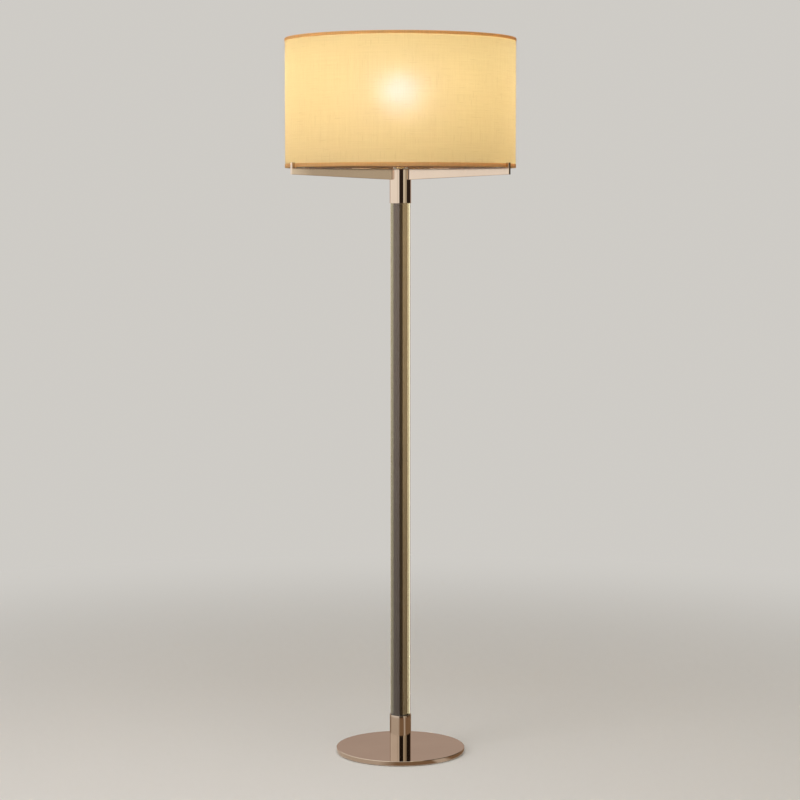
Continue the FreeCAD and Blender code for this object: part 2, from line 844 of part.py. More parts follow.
def make_shade_trims():
    turned("bottom_trim", trim_outline(S.bottom_trim_height, True), shade_base)
    turned("top_trim", trim_outline(S.top_trim_height, False), shade_top)


def make_shade_rings():
    """Wire rings that hold the shade round, just inside its two edges."""
    inset = S.trim_thick + S.ring_clear + S.ring_wire / 2
    for label, level in (("bottom_ring", shade_base + inset), ("top_ring", shade_top - inset)):
        ring = doc.addObject("Part::Torus", label)
        bind(ring, "Radius1", ring_radius)
        bind(ring, "Radius2", S.ring_wire / 2)
        lift(ring, level)
        register(ring, label)


# ---- the whole lamp ----------------------------------------------------------------------

def make_lamp():
    make_base_plate()
    make_felt_pad()
    make_cord_bushing()
    make_base_fixings()
    make_center_pipe()
    make_lower_collar()
    make_gaskets()
    make_bushes()
    make_inner_tube()
    make_glass_column()
    make_upper_collar()
    make_spider_hub()
    for label, azimuth in ARM_AZIMUTHS.items():
        make_arm(label, azimuth)
    make_spider_plate()
    make_arm_screws()
    hex_nut("hub_nut", S.hub_nut_thick, hub_nut_base)
    make_shade_pads()
    make_socket_casing()
    make_socket_inside()
    make_switch()
    make_bulb_base()
    make_bulb_globe()
    make_shade_walls()
    make_shade_trims()
    make_shade_rings()


def check_lamp():
    """Stop if any feature failed, or any sub-part has no sound solid."""
    for item in doc.Objects:
        if "Invalid" in item.State or "Error" in item.State:
            raise RuntimeError(f"{item.Name} failed: {item.State}")
    for item in parts:
        shape = item.Shape
        if shape.isNull() or not shape.isValid() or not shape.Solids:
            raise RuntimeError(f"{item.Label} has no sound solid")


def write_parts():
    os.makedirs("parts", exist_ok=True)
    for item in parts:
        item.Shape.exportStep(f"parts/{item.Label}.step")
        box_mm = item.Shape.BoundBox
        print(f"{item.Label}: {len(item.Shape.Solids)} solid(s), {item.Shape.Volume:.0f} mm3, "
              f"z {box_mm.ZMin:.1f} to {box_mm.ZMax:.1f}")


make_lamp()
doc.recompute()
check_lamp()
write_parts()
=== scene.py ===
import math

import bpy
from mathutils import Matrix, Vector, noise


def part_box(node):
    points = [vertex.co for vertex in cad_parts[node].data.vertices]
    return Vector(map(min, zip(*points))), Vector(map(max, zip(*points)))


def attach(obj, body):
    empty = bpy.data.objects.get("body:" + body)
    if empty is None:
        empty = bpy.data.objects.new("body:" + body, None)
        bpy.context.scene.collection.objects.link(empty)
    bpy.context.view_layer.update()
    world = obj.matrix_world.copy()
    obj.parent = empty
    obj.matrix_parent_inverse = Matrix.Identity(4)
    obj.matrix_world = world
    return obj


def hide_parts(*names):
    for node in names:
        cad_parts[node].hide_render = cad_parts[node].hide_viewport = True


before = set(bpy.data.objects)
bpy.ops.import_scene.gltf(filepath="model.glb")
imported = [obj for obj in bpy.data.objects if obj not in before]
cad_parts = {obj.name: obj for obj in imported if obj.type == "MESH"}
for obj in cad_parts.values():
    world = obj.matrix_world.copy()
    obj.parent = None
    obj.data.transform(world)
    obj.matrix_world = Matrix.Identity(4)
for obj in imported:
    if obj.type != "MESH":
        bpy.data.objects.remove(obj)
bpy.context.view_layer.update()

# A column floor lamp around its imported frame: polished metal, a clear glass column, a lit linen
# drum shade. Lengths are metres, +Z is up and -Y is the front.

# ---- the camera, at the photograph's viewing angle --------------------------------------

FRAME_PX = 800
FOCAL_PX = 2226.0
SENSOR_MM = 36.0
EYE = Vector((-0.001, -4.916, 1.221))
PITCH_DOWN = math.radians(4.094)
SHIFT_Y = -0.045

# ---- the studio ---------------------------------------------------------------------------

PALE = (0.62, 0.60, 0.565, 1.0)
ROOM_LIGHT = (0.62, 0.575, 0.49, 1.0)
ROOM_LEVEL = 0.32
FLOOR_RADIUS = 40.0
FLOOR_NEAR = 0.6
FLOOR_FAR = 2.8
TENT_RADIUS = 0.9
TENT_TOP = 2.6
TENT_FOOT = 0.0015
TENT_STEPS = 180
GROUND_RADIUS = 0.36
GROUND_GAP = 0.003
LINE_INSET = 0.02
LINE_LIFT = 0.001
SHINE_TOP = 1.1
METAL_FOOT_SHINE = 0.70
GLASS_FOOT_SHINE = 0.50
LINE_FOOT_SHINE = 0.90
LIGHTS_AIM = Vector((0.0, 0.0, 0.9))

# ---- the shade's cloth --------------------------------------------------------------------

CLOTH_THICK = 0.0009
CLOTH_LAP = 0.014
LAP_RAMP = 0.030
CLOTH_STEPS = 480
CLOTH_ROWS = 26
HEM_THICK = 0.0007
HEM_LAP = 0.016
HEM_STEPS = 420
HEM_ROUND = 0.0012
HEM_SEAM = math.radians(68.0)
HEM_BEVEL = 0.0002
HEM_EDGE = 0.0004
FOLD_TIGHTER = 0.6
GLUE = 0.0001
RIPPLE = 0.00018
RIPPLES_ROUND = 3.0
RIPPLES_UP = 4.0
THREAD_PITCH = 0.0011
TAPE_PITCH = 0.0008
FINE_THREADS = (420.0, 9.0)
THICK_THREADS = (330.0, 26.0)
CLOTH_THROUGH = 0.64
STRAIGHT_SHARE = 0.055
CORE_SHARE = 0.40
CLOTH_SHADOW = (0.30, 0.22, 0.10, 1.0)
HEM_THROUGH = 0.55
HEM_SHADOW = (0.94, 0.88, 0.80, 1.0)

# ---- the bulb -----------------------------------------------------------------------------

BULB_GLOW = 64.0
NECK_SHARE = 0.25
CROWN_SHARE = 1.15
BULB_COLOUR = (1.0, 0.86, 0.66, 1.0)
SEEN_GLOW = 0.024


class Nodes:
    """The shader nodes of one material or world. add() makes a node and fills its sockets."""

    def __init__(self, owner):
        owner.use_nodes = True
        self.tree = owner.node_tree
        self.tree.nodes.clear()

    def add(self, kind, sockets=None, **options):
        made = self.tree.nodes.new("ShaderNode" + kind)
        for option, value in options.items():
            setattr(made, option, value)
        for key, value in (sockets or {}).items():
            if isinstance(value, bpy.types.NodeSocket):
                self.tree.links.new(value, made.inputs[key])
            else:
                made.inputs[key].default_value = value
        return made

    def sum(self, operation, *values):
        """One Math node."""
        return self.add("Math", dict(enumerate(values)), operation=operation).outputs[0]

    def place(self):
        """A point of the surface in the lamp's own frame."""
        return self.add("TexCoord").outputs["Object"]

    def stretched(self, place, scale):
        """The same point with its axes scaled apart."""
        sockets = {0: place, 1: scale}
        return self.add("VectorMath", sockets, operation="MULTIPLY").outputs[0]

    def noise(self, place, scale, detail=2.0):
        sockets = {"Vector": place, "Scale": scale, "Detail": detail}
        return self.add("TexNoise", sockets).outputs["Fac"]

    def spread(self, value, low, high, to_low, to_high):
        """A value taken from one range to another, and held inside it."""
        sockets = {0: value, 1: low, 2: high, 3: to_low, 4: to_high}
        return self.add("MapRange", sockets).outputs[0]

    def colours(self, share, first, second):
        sockets = {0: share, 6: first, 7: second}
        return self.add("Mix", sockets, data_type="RGBA").outputs[2]

    def bump(self, height, distance, strength=1.0, normal=None):
        sockets = {"Height": height, "Distance": distance, "Strength": strength}
        if normal is not None:
            sockets["Normal"] = normal
        return self.add("Bump", sockets).outputs[0]

    def shaders(self, share, first, second):
        return self.add("MixShader", {0: share, 1: first, 2: second}).outputs[0]

    def around(self):
        """A point's run round the lamp's axis, its height, and nothing: the cloth laid flat."""
        split = self.add("SeparateXYZ", {0: self.place()})
        front = self.sum("MULTIPLY", split.outputs[1], -1.0)
        angle = self.sum("ARCTAN2", split.outputs[0], front)
        run = self.sum("MULTIPLY", angle, WALL_RADIUS)
        return self.add("CombineXYZ", {0: run, 1: split.outputs[2]}).outputs[0]

    def shadow_ray(self):
        return self.add("LightPath").outputs["Is Shadow Ray"]

    def finish(self, shader):
        self.add("OutputMaterial", {"Surface": shader})


def new_material(name):
    material = bpy.data.materials.new(name)
    return material, Nodes(material)


def tone(red, green, blue):
    return (red, green, blue, 1.0)


# ---- materials ----------------------------------------------------------------------------

def polished_metal(name, light, dark, roughness, haze, draw_lines):
    """Polished plate: a faint cloud in its tone, a hand-polished haze and hair-fine lines."""
    material, nodes = new_material(name)
    place = nodes.place()
    cloud = nodes.noise(place, 9.0, 3.0)
    colour = nodes.colours(nodes.spread(cloud, 0.35, 0.65, 0.0, 1.0), light, dark)
    smudge = nodes.noise(place, 46.0, 5.0)
    rough = nodes.spread(smudge, 0.35, 0.75, roughness, roughness + haze)
    lines = nodes.noise(nodes.stretched(place, draw_lines), 1.0, 2.0)
    sockets = {
        "Base Color": colour,
        "Metallic": 1.0,
        "Roughness": rough,
        "Normal": nodes.bump(lines, 0.000004),
    }
    nodes.finish(nodes.add("BsdfPrincipled", sockets).outputs[0])
    return material


def satin_metal(name, light, dark, roughness):
    """Plated or turned metal inside the lamp: soft sheen with a mottled tone."""
    material, nodes = new_material(name)
    place = nodes.place()
    mottle = nodes.noise(place, 160.0, 4.0)
    colour = nodes.colours(nodes.spread(mottle, 0.3, 0.7, 0.0, 1.0), light, dark)
    rough = nodes.spread(mottle, 0.3, 0.7, roughness - 0.06, roughness + 0.08)
    sockets = {
        "Base Color": colour,
        "Metallic": 1.0,
        "Roughness": rough,
        "Normal": nodes.bump(nodes.noise(place, 900.0, 2.0), 0.00002),
    }
    nodes.finish(nodes.add("BsdfPrincipled", sockets).outputs[0])
    return material


def moulded(name, light, dark, roughness, grain, depth):
    """Plastic, rubber, felt or board: a mottled tone over a fine grain."""
    material, nodes = new_material(name)
    place = nodes.place()
    mottle = nodes.noise(place, grain, 5.0)
    colour = nodes.colours(nodes.spread(mottle, 0.3, 0.7, 0.0, 1.0), light, dark)
    sockets = {
        "Base Color": colour,
        "Roughness": nodes.spread(mottle, 0.3, 0.7, roughness - 0.05, roughness + 0.05),
        "Normal": nodes.bump(nodes.noise(place, grain * 4.0, 2.0), depth),
    }
    nodes.finish(nodes.add("BsdfPrincipled", sockets).outputs[0])
    return material


def column_glass():
    """Drawn clear tube, with faint lines along its length. Lamp light passes straight through."""
    material, nodes = new_material("column_glass_clear")
    place = nodes.place()
    striae = nodes.noise(nodes.stretched(place, (260.0, 260.0, 3.0)), 1.0, 2.0)
    tint = nodes.spread(striae, 0.3, 0.7, 0.0, 1.0)
    sockets = {
        "Base Color": nodes.colours(tint, tone(0.99, 0.99, 0.98), tone(0.96, 0.97, 0.95)),
        "Roughness": 0.0,
        "IOR": 1.5,
        "Transmission Weight": 1.0,
        "Normal": nodes.bump(striae, 0.000006),
    }
    glass = nodes.add("BsdfPrincipled", sockets).outputs[0]
    clear = nodes.add("BsdfTransparent").outputs[0]
    nodes.finish(nodes.shaders(nodes.shadow_ray(), glass, clear))
    return material


def bulb_glass():
    """Frosted white glass, lit from within and dimmer towards its neck. It lights the shade at
    full strength, and shows to the camera and in metal far weaker, so its face isn't burnt out."""
    material, nodes = new_material("bulb_glass_lit")
    height = nodes.add("SeparateXYZ", {0: nodes.place()}).outputs[2]
    lit = nodes.spread(height, BULB_FOOT, BULB_TOP, NECK_SHARE, CROWN_SHARE)
    path = nodes.add("LightPath").outputs
    mirrored = nodes.sum("SUBTRACT", path["Is Glossy Ray"], path["Is Transmission Ray"])
    looked_at = nodes.sum("MAXIMUM", mirrored, path["Is Camera Ray"])
    glare = nodes.spread(looked_at, 0.0, 1.0, 1.0, SEEN_GLOW)
    strength = nodes.sum("MULTIPLY", lit, BULB_GLOW)
    frost = nodes.noise(nodes.place(), 140.0, 3.0)
    sockets = {
        "Base Color": nodes.colours(frost, tone(0.95, 0.93, 0.89), tone(0.90, 0.88, 0.84)),
        "Roughness": nodes.spread(frost, 0.3, 0.7, 0.30, 0.42),
        "Emission Color": nodes.colours(lit, tone(1.0, 0.60, 0.28), BULB_COLOUR),
        "Emission Strength": nodes.sum("MULTIPLY", strength, glare),
    }
    nodes.finish(nodes.add("BsdfPrincipled", sockets).outputs[0])
    return material


def weave(nodes, pitch, slub):
    """A plain weave laid round the drum. Gives its relief, its tone and its thick threads."""
    flat = nodes.around()
    split = nodes.add("SeparateXYZ", {0: flat})
    turn = math.tau / pitch
    warp = nodes.sum("SINE", nodes.sum("MULTIPLY", split.outputs[0], turn))
    weft = nodes.sum("SINE", nodes.sum("MULTIPLY", split.outputs[1], turn))
    grid = nodes.sum("MULTIPLY", warp, weft)
    across, along = FINE_THREADS
    upright = nodes.noise(nodes.stretched(flat, (across, along, 1.0)), 1.0, 3.0)
    level = nodes.noise(nodes.stretched(flat, (along, across, 1.0)), 1.0, 3.0)
    threads = nodes.sum("ADD", upright, level)
    across, along = THICK_THREADS
    dashes_up = nodes.noise(nodes.stretched(flat, (across, along, 1.0)), 1.0, 1.0)
    dashes_level = nodes.noise(nodes.stretched(flat, (along, across, 1.0)), 1.0, 1.0)
    dashes = nodes.sum("MAXIMUM", dashes_up, dashes_level)
    slubs = nodes.spread(dashes, slub, slub + 0.10, 0.0, 1.0)
    relief = nodes.sum("ADD", nodes.sum("MULTIPLY", grid, 0.25), threads)
    return relief, nodes.spread(threads, 0.75, 1.25, 0.0, 1.0), slubs


def linen():
    """Natural linen with the bulb's light coming through it. Thick threads let less through."""
    material, nodes = new_material("linen_weave")
    relief, tones, slubs = weave(nodes, THREAD_PITCH, 0.64)
    woven = nodes.colours(tones, tone(0.74, 0.60, 0.43), tone(0.80, 0.665, 0.49))
    front = nodes.colours(slubs, woven, tone(0.725, 0.59, 0.42))
    passed = nodes.colours(tones, tone(0.80, 0.68, 0.335), tone(0.83, 0.71, 0.36))
    through = nodes.colours(slubs, passed, tone(0.76, 0.64, 0.305))
    normal = nodes.bump(relief, 0.00012, 0.6)
    sockets = {
        "Base Color": front,
        "Roughness": 0.86,
        "Specular IOR Level": 0.25,
        "Sheen Weight": 0.12,
        "Normal": normal,
    }
    surface = nodes.add("BsdfPrincipled", sockets).outputs[0]
    glow = nodes.add("BsdfTranslucent", {"Color": through, "Normal": normal}).outputs[0]
    wide = {"Color": tone(0.30, 0.34, 0.55), "Roughness": 0.80, "IOR": 1.50}
    halo = nodes.add("BsdfRefraction", wide).outputs[0]
    narrow = {"Color": tone(0.25, 0.31, 0.80), "Roughness": 0.60, "IOR": 1.30}
    core = nodes.add("BsdfRefraction", narrow).outputs[0]
    forward = nodes.shaders(CORE_SHARE, halo, core)
    passing = nodes.shaders(STRAIGHT_SHARE, glow, forward)
    cloth = nodes.shaders(CLOTH_THROUGH, surface, passing)
    shade = nodes.add("BsdfTransparent", {"Color": CLOTH_SHADOW}).outputs[0]
    nodes.finish(nodes.shaders(nodes.shadow_ray(), cloth, shade))
    return material


def linen_back():
    """The cloth's inner face. It shows only from inside, and lets the light out."""
    material, nodes = new_material("linen_back")
    relief, tones, _ = weave(nodes, THREAD_PITCH, 0.63)
    sockets = {
        "Base Color": nodes.colours(tones, tone(0.80, 0.72, 0.60), tone(0.92, 0.86, 0.75)),
        "Roughness": 0.86,
        "Normal": nodes.bump(relief, 0.00012, 0.6),
    }
    surface = nodes.add("BsdfPrincipled", sockets).outputs[0]
    clear = nodes.add("BsdfTransparent").outputs[0]
    behind = nodes.add("NewGeometry").outputs["Backfacing"]
    passes = nodes.sum("MAXIMUM", nodes.shadow_ray(), behind)
    nodes.finish(nodes.shaders(passes, surface, clear))
    return material


def styrene():
    """The white lining. Seen from inside the drum it is matt; light on its way out passes it."""
    material, nodes = new_material("styrene_lining")
    cloud = nodes.noise(nodes.around(), 30.0, 4.0)
    sockets = {
        "Base Color": nodes.colours(cloud, tone(0.68, 0.61, 0.50), tone(0.74, 0.67, 0.56)),
        "Roughness": nodes.spread(cloud, 0.3, 0.7, 0.42, 0.55),
        "Normal": nodes.bump(nodes.noise(nodes.place(), 700.0, 2.0), 0.00003),
    }
    surface = nodes.add("BsdfPrincipled", sockets).outputs[0]
    clear = nodes.add("BsdfTransparent").outputs[0]
    outward = nodes.stretched(nodes.place(), (1.0, 1.0, 0.0))
    facing = {0: nodes.add("NewGeometry").outputs["Normal"], 1: outward}
    away = nodes.add("VectorMath", facing, operation="DOT_PRODUCT").outputs["Value"]
    outer = nodes.sum("GREATER_THAN", away, 0.05)
    passes = nodes.sum("MAXIMUM", nodes.shadow_ray(), outer)
    nodes.finish(nodes.shaders(passes, surface, clear))
    return material


def hem_fabric():
    """Woven tape folded over the drum's edges, glowing amber where the light gets through."""
    material, nodes = new_material("hem_tape")
    relief, tones, _ = weave(nodes, TAPE_PITCH, 0.66)
    sockets = {
        "Base Color": nodes.colours(tones, tone(0.77, 0.64, 0.32), tone(0.86, 0.72, 0.38)),
        "Roughness": 0.8,
        "Sheen Weight": 0.1,
        "Normal": nodes.bump(relief, 0.0001, 0.6),
    }
    surface = nodes.add("BsdfPrincipled", sockets).outputs[0]
    passed = nodes.colours(tones, tone(0.66, 0.34, 0.07), tone(0.76, 0.41, 0.10))
    glow = nodes.add("BsdfTranslucent", {"Color": passed}).outputs[0]
    cloth = nodes.shaders(HEM_THROUGH, surface, glow)
    shade = nodes.add("BsdfTransparent", {"Color": HEM_SHADOW}).outputs[0]
    nodes.finish(nodes.shaders(nodes.shadow_ray(), cloth, shade))
    return material


def painted_shade_hem_inside():
    """The inner leg of the tape, glued over the wire ring. Its near-black brown is painted shade,
    standing in for the shadow line under the shade's rim.
    """
    material, nodes = new_material("hem_tape_inner_painted_shade")
    relief, tones, _ = weave(nodes, TAPE_PITCH, 0.66)
    sockets = {
        # painted shade: these near-black brown tones stand in for the shadow under the shade's rim
        "Base Color": nodes.colours(tones, tone(0.085, 0.045, 0.022), tone(0.13, 0.07, 0.036)),
        "Roughness": 0.85,
        "Normal": nodes.bump(relief, 0.0001, 0.6),
    }
    surface = nodes.add("BsdfPrincipled", sockets).outputs[0]
    shade = nodes.add("BsdfTransparent", {"Color": HEM_SHADOW}).outputs[0]
    nodes.finish(nodes.shaders(nodes.shadow_ray(), surface, shade))
    return material


def make_finishes():
    """One material for each of the record's material slots."""
    round_lines = (30.0, 30.0, 900.0)
    long_lines = (500.0, 500.0, 6.0)
    return {
        "polished_nickel": polished_metal(
            "nickel_polished", tone(0.66, 0.55, 0.455), tone(0.63, 0.52, 0.43), 0.045, 0.03,
            round_lines,
        ),
        "polished_tube": polished_metal(
            "nickel_tube_dark", tone(0.40, 0.325, 0.25), tone(0.36, 0.29, 0.22), 0.12, 0.05,
            long_lines,
        ),
        "zinc_steel": satin_metal("zinc_plate", tone(0.66, 0.66, 0.65), tone(0.56, 0.56, 0.55), 0.34),
        "brass": satin_metal("brass_satin", tone(0.80, 0.62, 0.34), tone(0.70, 0.52, 0.27), 0.30),
        "column_glass": column_glass(),
        "bulb_glass": bulb_glass(),
        "bulb_metal": satin_metal("bulb_aluminium", tone(0.80, 0.80, 0.80), tone(0.7, 0.7, 0.7), 0.3),
        "bulb_insulator": moulded("bulb_vitrite", tone(0.05, 0.05, 0.06), tone(0.03, 0.03, 0.035),
                                  0.18, 90.0, 0.00001),
        "linen": linen(),
        "hem_fabric": hem_fabric(),
        "styrene": styrene(),
        "ring_wire": moulded("ring_coat", tone(0.90, 0.89, 0.85), tone(0.84, 0.82, 0.78),
                             0.42, 120.0, 0.00003),
        "felt": moulded("felt_nap", tone(0.10, 0.09, 0.08), tone(0.06, 0.055, 0.05),
                        0.92, 600.0, 0.0002),
        "clear_silicone": moulded("silicone_soft", tone(0.30, 0.27, 0.22), tone(0.24, 0.215, 0.175),
                                  0.35, 80.0, 0.00002),
        "black_plastic": moulded("plastic_black", tone(0.06, 0.06, 0.06), tone(0.045, 0.045, 0.045),
                                 0.48, 400.0, 0.00004),
        "black_phenolic": moulded("phenolic_black", tone(0.055, 0.05, 0.045),
                                  tone(0.03, 0.028, 0.025), 0.28, 70.0, 0.00002),
        "fibre_board": moulded("fibre_pressed", tone(0.58, 0.45, 0.30), tone(0.48, 0.36, 0.23),
                               0.80, 300.0, 0.0001),
    }


# ---- the shade's soft pieces --------------------------------------------------------------

def smooth(share):
    share = min(max(share, 0.0), 1.0)
    return share * share * (3.0 - 2.0 * share)


def ripple(angle, height):
    """How far the stretched cloth stands off its true round, in and out."""
    east = math.cos(angle) * RIPPLES_ROUND
    north = math.sin(angle) * RIPPLES_ROUND
    return RIPPLE * noise.noise(Vector((east, north, height * RIPPLES_UP)))


def swept(name, section_at, seam, lap, steps):
    """A closed strip swept once round the axis from a seam, its end lying over its start."""
    points = []
    faces = []
    whole = math.tau + lap
    for step in range(steps + 1):
        turned = whole * step / steps
        over = smooth((turned - math.tau + LAP_RAMP / WALL_RADIUS) / (LAP_RAMP / WALL_RADIUS))
        angle = seam + turned
        section = section_at(angle, over)
        for radius, height in section:
            points.append((radius * math.cos(angle), radius * math.sin(angle), height))
    count = len(section)
    for step in range(steps):
        for side in range(count):
            following = (side + 1) % count
            low = step * count
            faces.append((low + side, low + count + side, low + count + following, low + following))
    faces.append(tuple(range(count)))
    faces.append(tuple(steps * count + side for side in reversed(range(count))))
    mesh = bpy.data.meshes.new(name)
    mesh.from_pydata(points, [], faces)
    mesh.validate()
    mesh.update()
    for face in mesh.polygons:
        face.use_smooth = True
    piece = bpy.data.objects.new(name, mesh)
    bpy.context.scene.collection.objects.link(piece)
    return piece


def make_cloth():
    """The linen: one strip stretched round the lining, lapped and glued at the back."""
    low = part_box("shade_fabric")[0].z
    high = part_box("shade_fabric")[1].z
    heights = [low + (high - low) * row / CLOTH_ROWS for row in range(CLOTH_ROWS + 1)]

    def section_at(angle, over):
        lift = over * (CLOTH_THICK + GLUE)
        inside = WALL_RADIUS - CLOTH_THICK + lift
        outer = [(WALL_RADIUS + lift + ripple(angle, height), height) for height in heights]
        inner = [(inside + ripple(angle, height), height) for height in reversed(heights)]
        return outer + inner

    lap = CLOTH_LAP / WALL_RADIUS
    piece = swept("linen_wall", section_at, math.pi / 2 - lap, lap, CLOTH_STEPS)
    piece.data.materials.append(finishes["linen"])
    piece.data.materials.append(linen_back())
    for face in piece.data.polygons:
        inward = face.normal.x * face.center.x + face.normal.y * face.center.y < 0.0
        if inward:
            face.material_index = 1
    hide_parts("shade_fabric")
    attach(piece, "shade")
    return piece


def arc(middle, radius, start, end, count):
    """Points on a round corner, as (radius from the axis, height)."""
    angles = [start + (end - start) * step / count for step in range(count + 1)]
    return [(middle[0] + radius * math.cos(a), middle[1] + radius * math.sin(a)) for a in angles]


def make_hem(name, node, edge_up):
    """Tape folded over an edge of the drum: an outer leg, a soft fold, and an inner leg."""
    low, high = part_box(node)
    tall = high.z - low.z
    edge = low.z if edge_up else high.z
    sense = 1.0 if edge_up else -1.0
    inner_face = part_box(RING_OF[node])[1].x - RING_WIRE - GLUE

    def section_at(angle, over):
        lift = over * HEM_THICK
        outer = high.x + lift + ripple(angle, edge)
        inner = inner_face - HEM_THICK - lift
        round_out = HEM_ROUND
        round_in = HEM_ROUND - HEM_THICK * FOLD_TIGHTER
        skin = [(outer - HEM_BEVEL, tall), (outer, tall - HEM_EDGE)]
        skin += arc((outer - round_out, round_out), round_out, 0.0, -math.pi / 2, 5)
        skin += arc((inner + round_out, round_out), round_out, -math.pi / 2, -math.pi, 5)
        skin += [(inner, tall - HEM_EDGE), (inner + HEM_BEVEL, tall)]
        thick = HEM_THICK
        lining = [(inner + thick, tall)]
        lining += arc((inner + thick + round_in, thick + round_in), round_in,
                      math.pi, math.pi * 1.5, 4)
        lining += arc((outer - thick - round_in, thick + round_in), round_in,
                      math.pi * 1.5, math.tau, 4)
        lining += [(outer - thick, tall)]
        section = [(radius, edge + sense * rise) for radius, rise in skin + lining]
        return section if edge_up else section[::-1]

    piece = swept(name, section_at, HEM_SEAM, HEM_LAP / WALL_RADIUS, HEM_STEPS)
    piece.data.materials.append(finishes["hem_fabric"])
    # the inner leg takes the painted-shade tape, dark as the shadow under the rim
    piece.data.materials.append(painted_shade_inner_tape)
    for face in piece.data.polygons:
        radius = math.hypot(face.center.x, face.center.y)
        if radius < inner_face + HEM_BEVEL:
            face.material_index = 1
    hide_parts(node)
    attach(piece, "shade")
    return piece


# ---- the studio ---------------------------------------------------------------------------

def make_world():
    """A pale room: it shows at its own tone, and lights the lamp softly from all round."""
    world = bpy.data.worlds.new("pale_room")
    bpy.context.scene.world = world
    nodes = Nodes(world)
    path = nodes.add("LightPath").outputs
    seen = nodes.sum("MAXIMUM", path["Is Camera Ray"], path["Is Glossy Ray"])
    seen = nodes.sum("MAXIMUM", seen, path["Is Transmission Ray"])
    shown = nodes.add("Background", {"Color": PALE, "Strength": 1.0}).outputs[0]
    lighting = nodes.add("Background", {"Color": ROOM_LIGHT, "Strength": ROOM_LEVEL}).outputs[0]
    mixed = nodes.shaders(seen, lighting, shown)
    nodes.add("OutputWorld", {"Surface": mixed})


def make_floor():
    """A pale floor that keeps the lamp's shadow, and melts into the room further off."""
    bpy.ops.mesh.primitive_circle_add(vertices=96, radius=FLOOR_RADIUS, fill_type="NGON")
    floor = bpy.context.object
    floor.name = "floor"
    material, nodes = new_material("pale_floor")
    place = nodes.place()
    away = nodes.add("VectorMath", {0: place}, operation="LENGTH").outputs["Value"]
    far = nodes.add("MapRange", {0: away, 1: FLOOR_NEAR, 2: FLOOR_FAR},
                    interpolation_type="SMOOTHSTEP").outputs[0]
    speckle = nodes.noise(place, 260.0, 3.0)
    paint = nodes.colours(speckle, tone(0.80, 0.785, 0.765), tone(0.82, 0.805, 0.785))
    ground = nodes.add("BsdfDiffuse", {"Color": paint}).outputs[0]
    path = nodes.add("LightPath").outputs
    level = nodes.spread(path["Is Diffuse Ray"], 0.0, 1.0, 1.0, ROOM_LEVEL)
    glow = nodes.add("Emission", {"Color": PALE, "Strength": level}).outputs[0]
    nodes.finish(nodes.shaders(far, ground, glow))
    material.cycles.emission_sampling = "NONE"
    floor.data.materials.append(material)


def soft_light(name, place, size, power, colour):
    """A big soft panel lamp that points at the lamp's middle and isn't seen itself."""
    data = bpy.data.lights.new(name, "AREA")
    data.shape = "RECTANGLE"
    data.size = size[0]
    data.size_y = size[1]
    data.energy = power
    data.color = colour
    light = bpy.data.objects.new(name, data)
    light.location = place
    aim = LIGHTS_AIM - light.location
    light.rotation_euler = aim.to_track_quat("-Z", "Y").to_euler()
    light.visible_camera = False
    light.visible_glossy = False
    light.visible_transmission = False
    bpy.context.scene.collection.objects.link(light)


def tent(name, outline, bands, foot_shine, glossy, reach=(-180.0, 180.0)):
    """A round of studio panels that only metal, or only glass, reflects. The outline is its
    (radius, height) points. Each band of the round has its angle from the camera's side,
    + to the right, its tone and how solid it is. It dims towards its foot. Its reach is the
    stretch of the round that it covers."""
    count = len(outline)
    points = []
    faces = []
    for step in range(TENT_STEPS + 1):
        angle = math.radians(reach[0] + (reach[1] - reach[0]) * step / TENT_STEPS)
        for radius, height in outline:
            points.append((radius * math.sin(angle), -radius * math.cos(angle), height))
    for step in range(TENT_STEPS):
        for row in range(count - 1):
            first = step * count + row
            faces.append((first, first + 1, first + count + 1, first + count))
    mesh = bpy.data.meshes.new(name)
    mesh.from_pydata(points, [], faces)
    panel = bpy.data.objects.new(name, mesh)
    bpy.context.scene.collection.objects.link(panel)
    material, nodes = new_material(name + "_panels")
    split = nodes.add("SeparateXYZ", {0: nodes.place()})
    front = nodes.sum("MULTIPLY", split.outputs[1], -1.0)
    angle = nodes.sum("ARCTAN2", split.outputs[0], front)
    share = nodes.spread(angle, -math.pi, math.pi, 0.0, 1.0)
    shine = nodes.add("ValToRGB", {0: share})
    solid = nodes.add("ValToRGB", {0: share})
    for ramp, pick in ((shine.color_ramp, 1), (solid.color_ramp, 2)):
        while len(ramp.elements) < len(bands):
            ramp.elements.new(0.5)
        for element, band in zip(ramp.elements, bands):
            element.position = (band[0] + 180.0) / 360.0
            element.color = band[1] if pick == 1 else (band[2],) * 3 + (1.0,)
    height_fade = nodes.spread(split.outputs[2], 0.0, SHINE_TOP, foot_shine, 1.0)
    glow = nodes.add("Emission", {"Color": shine.outputs[0], "Strength": height_fade}).outputs[0]
    clear = nodes.add("BsdfTransparent").outputs[0]
    nodes.finish(nodes.shaders(solid.outputs[0], clear, glow))
    material.cycles.emission_sampling = "NONE"
    mesh.materials.append(material)
    for kind in ("camera", "diffuse", "shadow", "volume_scatter"):
        setattr(panel, "visible_" + kind, False)
    panel.visible_glossy = glossy
    panel.visible_transmission = not glossy


